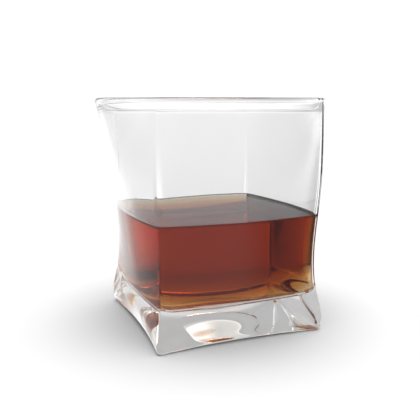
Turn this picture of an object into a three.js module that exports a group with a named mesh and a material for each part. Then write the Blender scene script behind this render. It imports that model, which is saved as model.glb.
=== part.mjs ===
import * as THREE from 'three';

// A heavy old-fashioned glass, half filled with whiskey. Its mouth is round, its foot is square, and four
// upright corners run from the one to the other. Millimetres, +Z up, origin under the centre of the foot.

// Driving dimensions of the glass.
const HEIGHT = 90;
const MOUTH_RADIUS = 45.5;
const FOOT_MID = 30.8; // from the axis to the middle of a side, at the foot
const WAIST_MID = 33.4; // the same, where the side is nearly flat, above the foot
const WAIST_Z = 14;
const FOOT_CREST = 46.6; // from the axis to the crest of a corner, at the foot
const FLARE_CREST = 47.4; // the same, where the foot spreads most
const FLARE_Z = 4.5;
const CORNER_ROUND = 1.2;
const FOOT_EDGE = 1.2;

// Driving dimensions of the hollow.
const WALL_LOW = 1.5; // thickness of the wall up to WALL_LOW_Z
const WALL_LOW_Z = 46;
const WALL_HIGH = 2; // the same, where the band inside the mouth begins
const LIP = 2.4; // the same, at its rounded top
const LIP_BAND = 4.2; // height of the band inside the mouth
const CORNER_THIN = 0.3; // how much thinner the wall is at the corners, up to ROUND_Z
const ROUND_Z = 54; // above this the corners melt into the round mouth
const FLOOR_Z = 11;
const BOWL_RISE = 7; // height of the bowl that the floor makes, up to the wall
const BOWL_FULLNESS = 3; // 2 is an ellipse, and more is flatter below
const HOLLOW_CORNER = 3.5;

// Driving dimensions of the dimple under the base, and of the drink.
const DIMPLE_RADIUS = 17;
const DIMPLE_DEPTH = 2.2;
const LEVEL = 45.4;
const MENISCUS = 0.8; // how far the drink climbs the wall
const MENISCUS_WIDTH = 2;
const GAP = 0.3; // between the drink and the glass

// Fineness of the faceted surfaces.
const STEPS = 9; // in each eighth of a turn
const CROWDING = 2.2; // how strongly those steps crowd towards the corner
const BOWL_STEPS = 7; // from the middle of the hollow's floor to its wall

// Middle of a side and crest of a corner, each as pairs of height and distance from the axis.
const SIDE_LINE = [[0, FOOT_MID], [5, 33], [WAIST_Z, WAIST_MID], [27, 33.8], [54, 37], [HEIGHT, MOUTH_RADIUS]];
const CORNER_LINE = [[0, FOOT_CREST], [FLARE_Z, FLARE_CREST], [WAIST_Z, 45.6], [54, 45.6], [HEIGHT, MOUTH_RADIUS]];

/** Smooth value at height z on a line given by pairs of height and value. */
function along(line, z) {
  const last = line.length - 1;
  const slope = (i) => {
    const [low, high] = [line[Math.max(i - 1, 0)], line[Math.min(i + 1, last)]];
    return (high[1] - low[1]) / (high[0] - low[0]);
  };
  let i = 0;
  while (i < last - 1 && z > line[i + 1][0]) i += 1;
  const span = line[i + 1][0] - line[i][0];
  const t = (z - line[i][0]) / span;
  const [start, end] = [line[i][1], line[i + 1][1]];
  const [leave, arrive] = [slope(i) * span, slope(i + 1) * span];
  const rise = t * t * (3 - 2 * t);
  return start + (end - start) * rise + leave * t * (1 - t) ** 2 - arrive * t * t * (1 - t);
}

/**
 * Distance from the axis to a level section, in a direction up to 45 degrees from the middle of a side. The
 * section has four sides, each an arc through its middle, and four corners rounded with the radius round.
 */
function reach(angle, { mid, crest, round }) {
  const corner = (crest - round) * Math.SQRT1_2; // both coordinates of the rounding's centre
  const bulge = mid - round - corner;
  const insetBend = (2 * bulge) / (corner ** 2 + bulge ** 2);
  const bend = insetBend / (1 + insetBend * round); // one over the side's radius, below zero where hollow
  const turn = Math.asin(Math.min(insetBend * corner, Math.SQRT1_2));
  const join = Math.atan2(corner + round * Math.sin(turn), corner + round * Math.cos(turn));
  if (angle > join) {
    const ahead = corner * (Math.cos(angle) + Math.sin(angle));
    return ahead + Math.sqrt(ahead ** 2 - 2 * corner ** 2 + round ** 2);
  }
  const slant = Math.cos(angle) * (1 - bend * mid);
  const chord = mid * (2 - bend * mid);
  return chord / (slant + Math.sqrt(slant ** 2 + bend * chord));
}

/** The points of a level ring, anticlockwise from +X. */
function ringPoints(ring) {
  const offsets = [];
  for (let i = 0; i < STEPS; i += 1) offsets.push((Math.PI / 4) * (1 - (1 - i / STEPS) ** CROWDING));
  const quarter = [...offsets, Math.PI / 4, ...offsets.slice(1).reverse().map((a) => Math.PI / 2 - a)];
  const points = [];
  for (let turn = 0; turn < 4; turn += 1) {
    for (const a of quarter) {
      const r = reach(Math.min(a, Math.PI / 2 - a), ring);
      const direction = a + (turn * Math.PI) / 2;
      points.push(new THREE.Vector3(r * Math.cos(direction), r * Math.sin(direction), ring.z));
    }
  }
  return points;
}

/** A closed surface through level rings, closed on the axis before the first ring and after the last. */
function loft(startZ, rings, endZ) {
  const loops = rings.map(ringPoints);
  const count = loops[0].length;
  const points = [new THREE.Vector3(0, 0, startZ), ...loops.flat(), new THREE.Vector3(0, 0, endZ)];
  const end = points.length - 1;
  const faces = [];
  for (let i = 0; i < count; i += 1) {
    const next = (i + 1) % count;
    faces.push(0, 1 + next, 1 + i);
    for (let k = 0; k < loops.length - 1; k += 1) {
      const low = 1 + k * count;
      const high = low + count;
      faces.push(low + i, low + next, high + next, low + i, high + next, high + i);
    }
    const top = 1 + (loops.length - 1) * count;
    faces.push(end, top + i, top + next);
  }
  const geometry = new THREE.BufferGeometry().setFromPoints(points);
  geometry.setIndex(faces);
  geometry.computeVertexNormals();
  return geometry;
}

/** A ring of the outer wall at height z, drawn in by inset. */
function outer(z, inset = 0) {
  const shape = Math.min(Math.max(z, 0), HEIGHT);
  return {
    z,
    mid: along(SIDE_LINE, shape) - inset,
    crest: along(CORNER_LINE, shape) - inset,
    round: CORNER_ROUND,
  };
}

/** Thickness of the wall at height z. */
function wall(z) {
  const band = HEIGHT - LIP_BAND;
  if (z > band) return WALL_HIGH + (LIP - WALL_HIGH) * Math.min((z - band) / (LIP_BAND - LIP / 2), 1);
  return WALL_LOW + (WALL_HIGH - WALL_LOW) * Math.max((z - WALL_LOW_Z) / (band - WALL_LOW_Z), 0);
}

/** A ring of the hollow at height z above the bowl of its floor, drawn in by inset. */
function hollow(z, inset = 0) {
  const ring = outer(z, wall(z) + inset);
  const thin = CORNER_THIN * Math.min((HEIGHT - z) / (HEIGHT - ROUND_Z), 1);
  return { ...ring, crest: ring.crest + thin, round: HOLLOW_CORNER };
}

/** Rings of the bowl from the middle of the hollow's floor up to its wall, in from the glass by gap. */
function bowl(gap, steps) {
  const rings = [];
  const rim = hollow(FLOOR_Z + BOWL_RISE, gap);
  for (let i = 1; i <= steps; i += 1) {
    const part = Math.sin((i / steps) * (Math.PI / 2));
    const rise = 1 - Math.max(1 - part ** 2, 0) ** (1 / BOWL_FULLNESS);
    const mid = rim.mid * part;
    const crest = mid * (1 + (rim.crest / rim.mid - 1) * part);
    const roundMost = (mid - Math.SQRT1_2 * crest) / (1 - Math.SQRT1_2);
    const round = rim.round * part + roundMost * (1 - part);
    rings.push({ z: FLOOR_Z + gap + (BOWL_RISE - gap) * rise, mid, crest, round });
  }
  return rings;
}

/** Evenly spaced heights after from, up to and with to. */
function heights(from, to, count) {
  return Array.from({ length: count }, (_, i) => from + ((to - from) * (i + 1)) / count);
}

/** The glass: dimple, foot, outer wall, rounded lip and hollow, as one closed surface. */
function glassGeometry() {
  const rings = [];
  for (const part of [0.35, 0.7, 1]) {
    const radius = DIMPLE_RADIUS * part;
    rings.push({ z: DIMPLE_DEPTH * (1 - part ** 2), mid: radius, crest: radius, round: radius / 2 });
  }
  for (let i = 0; i <= 3; i += 1) {
    const angle = (i / 3) * (Math.PI / 2);
    rings.push(outer(FOOT_EDGE * (1 - Math.cos(angle)), FOOT_EDGE * (1 - Math.sin(angle))));
  }
  for (const z of heights(FOOT_EDGE, WAIST_Z, 5)) rings.push(outer(z));
  for (const z of heights(WAIST_Z, HEIGHT - LIP / 2, 9)) rings.push(outer(z));
  for (let i = 1; i < 4; i += 1) {
    const angle = (i / 4) * Math.PI;
    const inset = (LIP / 2) * (1 - Math.cos(angle));
    rings.push({ ...outer(HEIGHT - LIP / 2, inset), z: HEIGHT - (LIP / 2) * (1 - Math.sin(angle)) });
  }
  for (const z of [HEIGHT - LIP / 2, HEIGHT - LIP_BAND]) rings.push(hollow(z));
  for (const z of heights(HEIGHT - LIP_BAND, FLOOR_Z + BOWL_RISE, 8).slice(0, -1)) rings.push(hollow(z));
  rings.push(...bowl(0, BOWL_STEPS).reverse());
  return loft(DIMPLE_DEPTH, rings, FLOOR_Z);
}

/** The drink, from the hollow's floor to its level, with the edge climbing the wall a little. */
function whiskeyGeometry() {
  const rings = bowl(GAP, BOWL_STEPS);
  for (const z of heights(FLOOR_Z + BOWL_RISE, LEVEL + MENISCUS, 4)) rings.push(hollow(z, GAP));
  const rim = hollow(LEVEL + MENISCUS, GAP);
  for (const part of [0.3, 1]) {
    const inset = MENISCUS_WIDTH * part;
    const z = LEVEL + MENISCUS * (1 - part) ** 2;
    rings.push({ z, mid: rim.mid - inset, crest: rim.crest - inset, round: rim.round });
  }
  return loft(FLOOR_Z + GAP, rings, LEVEL);
}

/** A named mesh with its own material. */
function piece(name, geometry, material) {
  const mesh = new THREE.Mesh(geometry, new THREE.MeshStandardMaterial(material));
  mesh.name = name;
  return mesh;
}

const group = new THREE.Group();
group.add(piece('glass', glassGeometry(), {
  color: 0xeef1f2,
  roughness: 0.02,
  metalness: 0,
  transparent: true,
  opacity: 0.3,
}));
group.add(piece('whiskey', whiskeyGeometry(), {
  color: 0x8a3a22,
  roughness: 0.05,
  metalness: 0,
  transparent: true,
  opacity: 0.85,
}));

export default group;
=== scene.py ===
"""A glass of whiskey: a thick-based old-fashioned glass, the drink in it, and a plain white studio."""

import logging
import math
from dataclasses import dataclass, field, replace
from enum import Enum
from typing import Sequence, Union

import bpy
import numpy as np
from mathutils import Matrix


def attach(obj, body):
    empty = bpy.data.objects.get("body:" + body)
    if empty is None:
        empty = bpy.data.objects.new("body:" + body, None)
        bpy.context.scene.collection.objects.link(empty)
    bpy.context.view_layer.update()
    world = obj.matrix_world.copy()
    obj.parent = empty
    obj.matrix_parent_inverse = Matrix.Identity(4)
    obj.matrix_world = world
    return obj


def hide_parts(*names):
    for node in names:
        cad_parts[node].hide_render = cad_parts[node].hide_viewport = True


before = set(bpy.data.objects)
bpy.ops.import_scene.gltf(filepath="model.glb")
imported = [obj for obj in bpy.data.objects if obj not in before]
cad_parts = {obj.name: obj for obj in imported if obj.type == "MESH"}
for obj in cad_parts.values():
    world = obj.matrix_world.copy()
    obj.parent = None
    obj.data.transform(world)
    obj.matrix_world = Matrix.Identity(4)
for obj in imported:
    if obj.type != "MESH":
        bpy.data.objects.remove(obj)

LOG = logging.getLogger("whiskey")
MM = 0.001
QUARTER = math.pi / 2
EIGHTH = math.pi / 4
DIAGONAL = math.sqrt(0.5)

Colour = tuple[float, float, float]
Line = Sequence[tuple[float, float]]


class Slot(Enum):
    """Names of two material slots, glass and whiskey; nothing in this script uses them."""

    GLASS = "glass"
    WHISKEY = "whiskey"


class Value:
    """A number or vector that a node tree works out, with arithmetic on it."""

    def __init__(self, tree: "Tree", socket: bpy.types.NodeSocket | None) -> None:
        """Wraps one output socket of a node in the tree, or None for a node that has no output."""
        self.tree = tree
        self.socket = socket

    def _math(self, operation: str, first: "Term", second: "Term") -> "Value":
        """Adds one Math node and returns its result."""
        return self.tree.node("ShaderNodeMath", {"operation": operation}, {0: first, 1: second})

    def __add__(self, other: "Term") -> "Value":
        """Self plus other."""
        return self._math("ADD", self, other)

    def __radd__(self, other: "Term") -> "Value":
        """Other plus self."""
        return self._math("ADD", other, self)

    def __sub__(self, other: "Term") -> "Value":
        """Self less other."""
        return self._math("SUBTRACT", self, other)

    def __rsub__(self, other: "Term") -> "Value":
        """Other less self."""
        return self._math("SUBTRACT", other, self)

    def __mul__(self, other: "Term") -> "Value":
        """Self times other."""
        return self._math("MULTIPLY", self, other)

    def __rmul__(self, other: "Term") -> "Value":
        """Other times self."""
        return self._math("MULTIPLY", other, self)

    def ramp(self, start: float, end: float) -> "Value":
        """Rises smoothly from 0 at start to 1 at end, or falls where end is below start.

        Args:
            start: the value that gives 0.
            end: the value that gives 1.

        Returns:
            The ramp's value, held between 0 and 1.
        """
        falls = end < start
        inputs = {"From Min": min(start, end), "From Max": max(start, end), "Value": self}
        rise = self.tree.node("ShaderNodeMapRange", {"interpolation_type": "SMOOTHSTEP"}, inputs)
        return 1 - rise if falls else rise


Term = Union[Value, float]


class Tree:
    """A material's or world's node tree, to which nodes are added one at a time."""

    def __init__(self, owner: bpy.types.Material | bpy.types.World) -> None:
        """Empties the owner's node tree, to start afresh."""
        owner.use_nodes = True
        self.nodes = owner.node_tree.nodes
        self.links = owner.node_tree.links
        self.nodes.clear()

    def node(
        self,
        kind: str,
        settings: dict[str, object] | None = None,
        inputs: dict[str | int, object] | None = None,
        output: str | int = 0,
    ) -> Value:
        """Adds a node.

        Args:
            kind: the node's type.
            settings: its properties, which are set first.
            inputs: values or links of its input sockets, by name or number.
            output: which output socket to return.

        Returns:
            The output socket, as a Value.
        """
        made = self.nodes.new(kind)
        for name, setting in (settings or {}).items():
            setattr(made, name, setting)
        for name, term in (inputs or {}).items():
            if isinstance(term, Value):
                self.links.new(term.socket, made.inputs[name])
            else:
                made.inputs[name].default_value = term
        return Value(self, made.outputs[output] if made.outputs else None)


@dataclass(frozen=True)
class ClearGlass:
    """Polished soda-lime glass, with the faint waves that pressing leaves in it."""

    ior: float = 1.5
    tint: float = 0.94
    wet: float = 0.06
    wave_scale: float = 60.0
    wave_depth: float = 0.004 * MM

    def make(self, name: str, shine: float = 1.0) -> bpy.types.Material:
        """Builds the material.

        Args:
            name: its name.
            shine: how strongly it mirrors, less where liquid lies against it.

        Returns:
            The material.
        """
        material = bpy.data.materials.new(name)
        tree = Tree(material)
        place = tree.node("ShaderNodeTexCoord", output="Object")
        fineness = {"Vector": place, "Scale": self.wave_scale, "Detail": 1.0}
        waves = tree.node("ShaderNodeTexNoise", {}, fineness)
        bump = tree.node("ShaderNodeBump", {}, {"Height": waves, "Distance": self.wave_depth})
        surface = tree.node("ShaderNodeBsdfPrincipled", {}, {
            "Base Color": (self.tint, self.tint, self.tint, 1),
            "Roughness": 0.0,
            "IOR": self.ior,
            "Specular Tint": (shine, shine, shine, 1),
            "Transmission Weight": 1.0,
            "Normal": bump,
        })
        tree.node("ShaderNodeOutputMaterial", {}, {"Surface": surface})
        return material


@dataclass(frozen=True)
class AmberSpirit:
    """Clear whiskey, gold where it is thin and red-brown where it is deep."""

    ior: float = 1.36
    wet: float = 0.06
    taken_per_m: Colour = (21.1, 61.6, 133.6)

    def make(self, name: str, shine: float = 1.0) -> bpy.types.Material:
        """Builds the material.

        Args:
            name: its name.
            shine: how strongly it mirrors, less where it lies against glass.

        Returns:
            The material.
        """
        material = bpy.data.materials.new(name)
        tree = Tree(material)
        density = max(self.taken_per_m) * 1.05
        colour = [1 - taken / density for taken in self.taken_per_m]
        surface = tree.node("ShaderNodeBsdfPrincipled", {}, {
            "Base Color": (1, 1, 1, 1),
            "Roughness": 0.0,
            "IOR": self.ior,
            "Specular Tint": (shine, shine, shine, 1),
            "Transmission Weight": 1.0,
        })
        volume = tree.node("ShaderNodeVolumeAbsorption", {}, {"Color": (*colour, 1), "Density": density})
        tree.node("ShaderNodeOutputMaterial", {}, {"Surface": surface, "Volume": volume})
        return material


@dataclass(frozen=True)
class PalePaper:
    """The studio's plain white floor."""

    shade: float = 0.6

    def make(self) -> bpy.types.Material:
        """Builds the material."""
        material = bpy.data.materials.new("pale_paper")
        tree = Tree(material)
        surface = tree.node("ShaderNodeBsdfDiffuse", {}, {"Color": (self.shade,) * 3 + (1,)})
        tree.node("ShaderNodeOutputMaterial", {}, {"Surface": surface})
        return material


class Curve:
    """A smooth line through pairs of height and value, by cubic pieces whose bends meet too."""

    def __init__(self, line: Line) -> None:
        """Works out the slope at each pair, with no bend at the two ends."""
        self.at = np.array([point[0] for point in line], float)
        self.value = np.array([point[1] for point in line], float)
        span = np.diff(self.at)
        rise = np.diff(self.value) / span
        last = len(line) - 1
        system = np.zeros((last + 1, last + 1))
        wanted = np.zeros(last + 1)
        system[0, :2] = 2, 1
        wanted[0] = 3 * rise[0]
        system[last, -2:] = 1, 2
        wanted[last] = 3 * rise[-1]
        for i in range(1, last):
            system[i, i - 1: i + 2] = span[i], 2 * (span[i - 1] + span[i]), span[i - 1]
            wanted[i] = 3 * (span[i] * rise[i - 1] + span[i - 1] * rise[i])
        self.slope = np.linalg.solve(system, wanted)

    def __call__(self, z: float) -> float:
        """The value at height z, held at the ends."""
        z = min(max(z, self.at[0]), self.at[-1])
        i = min(int(np.searchsorted(self.at, z, "right")) - 1, len(self.at) - 2)
        span = self.at[i + 1] - self.at[i]
        t = (z - self.at[i]) / span
        rise = t * t * (3 - 2 * t)
        leave = self.slope[i] * span * t * (1 - t) ** 2
        arrive = self.slope[i + 1] * span * t * t * (1 - t)
        return self.value[i] * (1 - rise) + self.value[i + 1] * rise + leave - arrive


@dataclass(frozen=True)
class Ring:
    """A level section with four arched sides and four rounded corners, in millimetres.

    Its coat is the number of the material on the surface between it and the ring before it.
    """

    z: float
    mid: float
    crest: float
    corner: float
    coat: int = 0

    def reach(self, angle: np.ndarray) -> np.ndarray:
        """Distances from the axis.

        Args:
            angle: directions up to 45 degrees from the middle of a side.

        Returns:
            The distance in each direction.
        """
        centre = (self.crest - self.corner) * DIAGONAL
        bulge = self.mid - self.corner - centre
        inset_bend = 2 * bulge / (centre**2 + bulge**2)
        bend = inset_bend / (1 + inset_bend * self.corner)
        turn = math.asin(min(inset_bend * centre, DIAGONAL))
        join = math.atan2(centre + self.corner * math.sin(turn), centre + self.corner * math.cos(turn))
        ahead = centre * (np.cos(angle) + np.sin(angle))
        corner = ahead + np.sqrt(np.maximum(ahead**2 - 2 * centre**2 + self.corner**2, 0))
        slant = np.cos(angle) * (1 - bend * self.mid)
        chord = self.mid * (2 - bend * self.mid)
        side = chord / (slant + np.sqrt(slant**2 + bend * chord))
        return np.where(angle > join, corner, side)

    def inset(self, depth: float) -> "Ring":
        """The same ring drawn in by a depth."""
        return replace(self, mid=self.mid - depth, crest=self.crest - depth)


@dataclass(frozen=True)
class Loft:
    """Makes closed meshes through rings, with steps that crowd towards the corners, which bend most."""

    steps: int = 44
    crowding: float = 1.9

    def _quarter(self) -> np.ndarray:
        """Directions in one quarter turn, from the middle of a side up to the next."""
        part = np.arange(self.steps + 1) / self.steps
        eighth = EIGHTH * (1 - (1 - part) ** self.crowding)
        return np.concatenate([eighth, (QUARTER - eighth)[-2:0:-1]])

    def mesh(self, name: str, start_z: float, rings: Sequence[Ring], end_z: float) -> bpy.types.Object:
        """Builds a closed surface through level rings.

        Args:
            name: the new object's name.
            start_z: height of the point on the axis before the first ring.
            rings: the rings, in order.
            end_z: height of the point on the axis after the last ring.

        Returns:
            The mesh object, in metres, smooth shaded.
        """
        quarter = self._quarter()
        folded = np.minimum(quarter, QUARTER - quarter)
        direction = np.concatenate([quarter + turn * QUARTER for turn in range(4)])
        count = len(direction)
        layers = []
        for ring in rings:
            radius = np.tile(ring.reach(folded), 4)
            height = np.full(count, ring.z)
            layers.append(np.stack([radius * np.cos(direction), radius * np.sin(direction), height], 1))
        ends = [np.array([[0, 0, start_z]]), np.array([[0, 0, end_z]])]
        points = np.concatenate(ends + layers) * MM
        here = np.arange(count)
        after = (here + 1) % count
        faces = [(0, 2 + b, 2 + a) for a, b in zip(here.tolist(), after.tolist())]
        for k in range(len(rings) - 1):
            low = 2 + k * count
            quads = np.stack([low + here, low + after, low + count + after, low + count + here], 1)
            faces.extend(map(tuple, quads.tolist()))
        top = 2 + (len(rings) - 1) * count
        faces.extend((1, top + a, top + b) for a, b in zip(here.tolist(), after.tolist()))
        data = bpy.data.meshes.new(name)
        data.from_pydata(points.tolist(), [], faces)
        data.polygons.foreach_set("use_smooth", np.ones(len(faces), bool))
        coats = [ring.coat for ring in rings] + [rings[-1].coat]
        data.polygons.foreach_set("material_index", np.repeat(coats, count))
        data.update()
        made = bpy.data.objects.new(name, data)
        bpy.context.scene.collection.objects.link(made)
        return made


def spread(start: float, end: float, count: int) -> list[float]:
    """Evenly spaced values after start, up to and with end."""
    return [start + (end - start) * (i + 1) / count for i in range(count)]


@dataclass
class Tumbler:
    """The glass: a square foot, upright corner creases, a round mouth and a hollow. In millimetres.

    Below wet_z the hollow's skin is the one that liquid lies against. Rings stand closer below lower_z.
    """

    height: float = 90.0
    mouth: float = 45.5
    foot_mid: float = 30.8
    waist_mid: float = 33.4
    waist_z: float = 14.0
    foot_crest: float = 46.6
    flare_crest: float = 47.4
    flare_z: float = 4.5
    corner: float = 1.2
    foot_edge: float = 1.2
    wall: float = 2.0
    wall_low: float = 1.5
    wall_low_z: float = 46.0
    lip: float = 2.4
    lip_band: float = 4.2
    floor_z: float = 11.0
    bowl_rise: float = 7.0
    bowl_fullness: float = 3.0
    hollow_corner: float = 3.5
    corner_thin: float = 0.3
    round_z: float = 54.0
    dimple_radius: float = 17.0
    dimple_depth: float = 2.2
    flat_parts: Sequence[float] = (0.02, 0.35, 0.7, 0.97, 1)
    lower_z: float = 21.0
    wet_z: float = 46.0
    finish: ClearGlass = field(default_factory=ClearGlass)
    loft: Loft = field(default_factory=Loft)

    def __post_init__(self) -> None:
        """Draws the lines of the sides' middles and of the corners' crests."""
        self.side_line = Curve([
            (0, self.foot_mid), (5, 33), (self.waist_z, self.waist_mid),
            (27, 33.8), (54, 37), (self.height, self.mouth),
        ])
        self.corner_line = Curve([
            (0, self.foot_crest), (self.flare_z, self.flare_crest), (self.waist_z, 45.6),
            (54, 45.6), (self.height, self.mouth),
        ])

    def outer(self, z: float, inset: float = 0.0) -> Ring:
        """The outer wall's ring at a height, drawn in by inset."""
        return Ring(z, self.side_line(z), self.corner_line(z), self.corner).inset(inset)

    def wall_at(self, z: float) -> float:
        """Thickness of the wall at a height: least low down, and most in the band inside the mouth."""
        band_z = self.height - self.lip_band
        if z > band_z:
            up = min((z - band_z) / (self.lip_band - self.lip / 2), 1.0)
            return self.wall + (self.lip - self.wall) * up
        up = max((z - self.wall_low_z) / (band_z - self.wall_low_z), 0.0)
        return self.wall_low + (self.wall - self.wall_low) * up

    def hollow(self, z: float, inset: float = 0.0) -> Ring:
        """The hollow's ring at a height above the bowl of its floor, drawn in by inset."""
        ring = self.outer(z, self.wall_at(z) + inset)
        thinner = self.corner_thin * min((self.height - z) / (self.height - self.round_z), 1.0)
        return replace(ring, crest=ring.crest + thinner, corner=self.hollow_corner)

    def bowl(self, out: float, steps: int) -> list[Ring]:
        """Rings of the hollow's floor, a shallow bowl that turns up into the wall.

        Args:
            out: how far the rings lie outside the hollow's own surface.
            steps: how many rings.

        Returns:
            The rings, from the floor's middle up.
        """
        start = self.hollow(self.floor_z + self.bowl_rise, -out)
        rings = []
        for angle in spread(0, QUARTER, steps):
            part = math.sin(angle)
            rise = 1 - max(1 - part**2, 0.0) ** (1 / self.bowl_fullness)
            mid = start.mid * part
            crest = mid * (1 + (start.crest / start.mid - 1) * part)
            round_most = (mid - DIAGONAL * crest) / (1 - DIAGONAL)
            corner = self.hollow_corner * part + round_most * (1 - part)
            rings.append(Ring(self.floor_z - out + (self.bowl_rise + out) * rise, mid, crest, corner))
        return rings

    def _dimple(self) -> list[Ring]:
        """Rings of the dimple under the base, from near its middle to its edge."""
        rings = []
        for part in spread(0, 1, 24):
            radius = self.dimple_radius * part
            rings.append(Ring(self.dimple_depth * (1 - part**2), radius, radius, radius / 2))
        return rings

    def _lip(self) -> list[Ring]:
        """Rings over the rounded top of the wall, from outside to inside."""
        half = self.lip / 2
        edge = self.outer(self.height - half)
        rings = []
        for angle in spread(0, math.pi, 16)[:-1]:
            inset = half * (1 - math.cos(angle))
            rings.append(replace(edge.inset(inset), z=edge.z + half * math.sin(angle)))
        return rings

    def build(self) -> bpy.types.Object:
        """Builds the glass, dresses it, and lets it stand for its CAD node."""
        rings = self._dimple()
        start = self.outer(0, self.foot_edge)
        for part in self.flat_parts:
            mid = self.dimple_radius + (start.mid - self.dimple_radius) * part
            crest = self.dimple_radius + (start.crest - self.dimple_radius) * part
            rings.append(Ring(0, mid, crest, self.corner))
        for angle in spread(0, QUARTER, 8):
            rise = self.foot_edge * (1 - math.cos(angle))
            rings.append(self.outer(rise, self.foot_edge * (1 - math.sin(angle))))
        rings += [self.outer(z) for z in spread(self.foot_edge, self.lower_z, 40)]
        rings += [self.outer(z) for z in spread(self.lower_z, self.height - self.lip / 2, 50)]
        rings += self._lip()
        band_z = self.height - self.lip_band
        rings += [self.hollow(z) for z in spread(self.height - self.lip / 2, band_z, 6)]
        rings += [self.hollow(z) for z in spread(band_z, self.wet_z, 30)]
        bowl_top = self.floor_z + self.bowl_rise
        wet = [self.hollow(z) for z in spread(self.wet_z, bowl_top, 24)[:-1]]
        wet += self.bowl(0, 40)[::-1]
        rings += [replace(ring, coat=1) for ring in wet]
        made = self.loft.mesh("tumbler", self.dimple_depth, rings, self.floor_z)
        made.data.materials.append(self.finish.make("clear_glass"))
        made.data.materials.append(self.finish.make("wetted_glass", self.finish.wet))
        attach(made, "root")
        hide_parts("glass")
        return made


@dataclass
class Drink:
    """The whiskey in a tumbler, up to its level, reaching just into the wall. In millimetres."""

    tumbler: Tumbler
    level: float = 45.4
    overlap: float = 0.3
    meniscus: float = 0.8
    meniscus_width: float = 2.5
    top_insets: Sequence[float] = (4, 10, 18, 26)
    finish: AmberSpirit = field(default_factory=AmberSpirit)

    def build(self) -> bpy.types.Object:
        """Builds the drink, dresses it, and lets it stand for its CAD node."""
        glass = self.tumbler
        top = self.level + self.meniscus
        skin = glass.bowl(self.overlap, 40)
        skin += [glass.hollow(z, -self.overlap) for z in spread(glass.floor_z + glass.bowl_rise, top, 24)]
        rings = [replace(ring, coat=1) for ring in skin]
        edge = skin[-1].inset(self.overlap)
        for part in spread(0, 1, 12):
            height = self.level + self.meniscus * (1 - part) ** 3
            rings.append(replace(edge.inset(self.meniscus_width * part), z=height))
        rings += [replace(rings[-1].inset(depth), z=self.level) for depth in self.top_insets]
        made = glass.loft.mesh("whiskey_drink", glass.floor_z - self.overlap, rings, self.level)
        made.data.materials.append(self.finish.make("whiskey_surface"))
        made.data.materials.append(self.finish.make("whiskey_at_wall", self.finish.wet))
        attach(made, "root")
        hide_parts("whiskey")
        return made


@dataclass(frozen=True)
class SoftBox:
    """A lit or dark panel of the studio, far off, as the glass mirrors and bends it.

    Its direction is given by a turn about Z, in degrees from the camera's own side, and a height angle.
    """

    turn: float
    lift: float
    half_width: float
    half_height: float
    glow: float
    soft: float = 4.0


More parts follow.
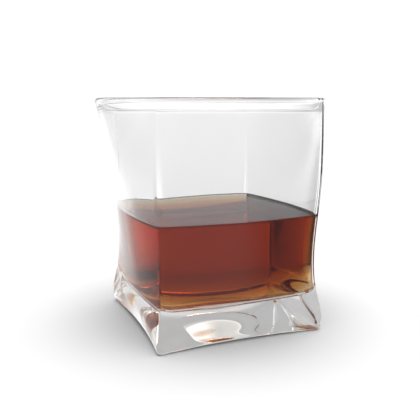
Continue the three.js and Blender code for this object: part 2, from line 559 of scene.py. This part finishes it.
@dataclass
class Studio:
    """A plain white floor, a white sky with panels in it, and the camera.

    The camera sees the backdrop, and the glass mirrors and bends the sky. The sky dims upwards between two
    height angles, and fades to the underside by floor_fade degrees below the horizon.
    """

    camera_turn: float = -22.06
    camera_distance: float = 240.9 * MM
    camera_height: float = 88.7 * MM
    camera_dip: float = 10.36
    lens: float = 51.0
    floor_size: float = 30.0
    backdrop: float = 1.1
    sky: float = 1.0
    sky_dim: float = 0.8
    sky_dim_from: float = 3.0
    sky_dim_to: float = 8.0
    underside: float = 0.55
    floor_fade: float = 35.0
    below: SoftBox = SoftBox(0, -90, 180, 25, 1.05, 15)
    left_floor: SoftBox = SoftBox(-100, -12, 25, 14, 0.4, 20)
    bright_floor: SoftBox = SoftBox(-158, -16, 14, 10, 1.3, 6)
    right_floor: SoftBox = SoftBox(85, -18, 32, 12, 0.35, 8)
    front_floor: SoftBox = SoftBox(0, -25, 60, 16, 0.75, 8)
    far_window: SoftBox = SoftBox(150, -7, 12, 6, 2.2, 8)
    skirting: SoftBox = SoftBox(180, 3.5, 70, 1.5, 1.3, 3)
    dark_side: SoftBox = SoftBox(0, 12, 50, 12, 0.8, 8)
    dark_back: SoftBox = SoftBox(180, 19, 70, 12, 0.5, 5)
    left_wall: SoftBox = SoftBox(-95, 22, 40, 20, 0.6, 10)
    right_box: SoftBox = SoftBox(95, 15, 22, 20, 1.4, 8)
    overhead: SoftBox = SoftBox(0, 90, 180, 20, 9.5, 8)

    def _camera(self) -> bpy.types.Object:
        """Makes the camera and gives it to the scene."""
        data = bpy.data.cameras.new("camera")
        data.lens = self.lens
        data.clip_start = 1 * MM
        made = bpy.data.objects.new("camera", data)
        turn = math.radians(self.camera_turn)
        away = self.camera_distance
        made.location = (away * math.sin(turn), -away * math.cos(turn), self.camera_height)
        made.rotation_euler = (QUARTER - math.radians(self.camera_dip), 0, turn)
        bpy.context.scene.collection.objects.link(made)
        bpy.context.scene.camera = made
        return made

    def _floor(self) -> bpy.types.Object:
        """Makes the floor, just under the glass."""
        half = self.floor_size / 2
        data = bpy.data.meshes.new("floor")
        corners = [(-half, -half, 0), (half, -half, 0), (half, half, 0), (-half, half, 0)]
        data.from_pydata(corners, [], [(0, 1, 2, 3)])
        data.materials.append(PalePaper().make())
        made = bpy.data.objects.new("floor", data)
        made.location.z = -0.02 * MM
        made.visible_glossy = False
        made.visible_transmission = False
        bpy.context.scene.collection.objects.link(made)
        return made

    def _panels(self) -> tuple[SoftBox, ...]:
        """All the panels, each laid over those before it."""
        return (
            self.below, self.left_floor, self.bright_floor, self.front_floor, self.right_floor,
            self.far_window, self.skirting,
            self.dark_side, self.dark_back, self.left_wall, self.right_box, self.overhead,
        )

    def _sky(self) -> None:
        """Makes the world: white all round, with the panels in it."""
        world = bpy.data.worlds.new("studio")
        bpy.context.scene.world = world
        tree = Tree(world)
        direction = tree.node("ShaderNodeTexCoord", output="Generated")
        parts = tree.node("ShaderNodeSeparateXYZ", {}, {0: direction})
        x, y, z = (Value(tree, parts.socket.node.outputs[i]) for i in range(3))
        low, high = (math.sin(math.radians(a)) for a in (self.sky_dim_from, self.sky_dim_to))
        light: Term = self.sky_dim + (self.sky - self.sky_dim) * z.ramp(high, low)
        deep = math.sin(math.radians(self.floor_fade))
        light = self.underside + (light - self.underside) * z.ramp(-deep, 0)
        for panel in self._panels():
            turn = math.radians(self.camera_turn + panel.turn)
            toward = x * math.sin(turn) - y * math.cos(turn)
            across = x * math.cos(turn) + y * math.sin(turn)
            side = tree.node("ShaderNodeMath", {"operation": "ARCTAN2"}, {0: across, 1: toward})
            side = tree.node("ShaderNodeMath", {"operation": "ABSOLUTE"}, {0: side})
            lift = tree.node("ShaderNodeMath", {"operation": "ARCSINE"}, {0: z})
            lift = lift - math.radians(panel.lift)
            lift = tree.node("ShaderNodeMath", {"operation": "ABSOLUTE"}, {0: lift})
            wide, tall, soft = (math.radians(a) for a in (panel.half_width, panel.half_height, panel.soft))
            mask = side.ramp(wide + soft, wide - soft) * lift.ramp(tall + soft, tall - soft)
            light = mask * panel.glow + (1 - mask) * light
        seen = tree.node("ShaderNodeLightPath", output="Is Camera Ray")
        light = light + seen * (self.backdrop - light)
        background = tree.node("ShaderNodeBackground", {}, {"Color": (1, 1, 1, 1), "Strength": light})
        tree.node("ShaderNodeOutputWorld", {}, {"Surface": background})

    def build(self) -> None:
        """Makes the camera, the floor and the sky, and sets how light is followed through the glass."""
        self._camera()
        self._floor()
        self._sky()
        scene = bpy.context.scene
        scene.view_settings.view_transform = "Standard"
        scene.cycles.max_bounces = 32
        scene.cycles.transmission_bounces = 32
        scene.cycles.glossy_bounces = 16
        scene.cycles.caustics_refractive = False
        scene.cycles.caustics_reflective = True


def main() -> None:
    """Builds the glass, the drink and the studio, and reports each piece."""
    logging.basicConfig(level=logging.INFO, format="%(name)s: %(message)s")
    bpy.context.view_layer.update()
    tumbler = Tumbler()
    for made in (tumbler.build(), Drink(tumbler).build()):
        LOG.info("%s: %d faces", made.name, len(made.data.polygons))
    Studio().build()


if __name__ == "__main__":
    main()
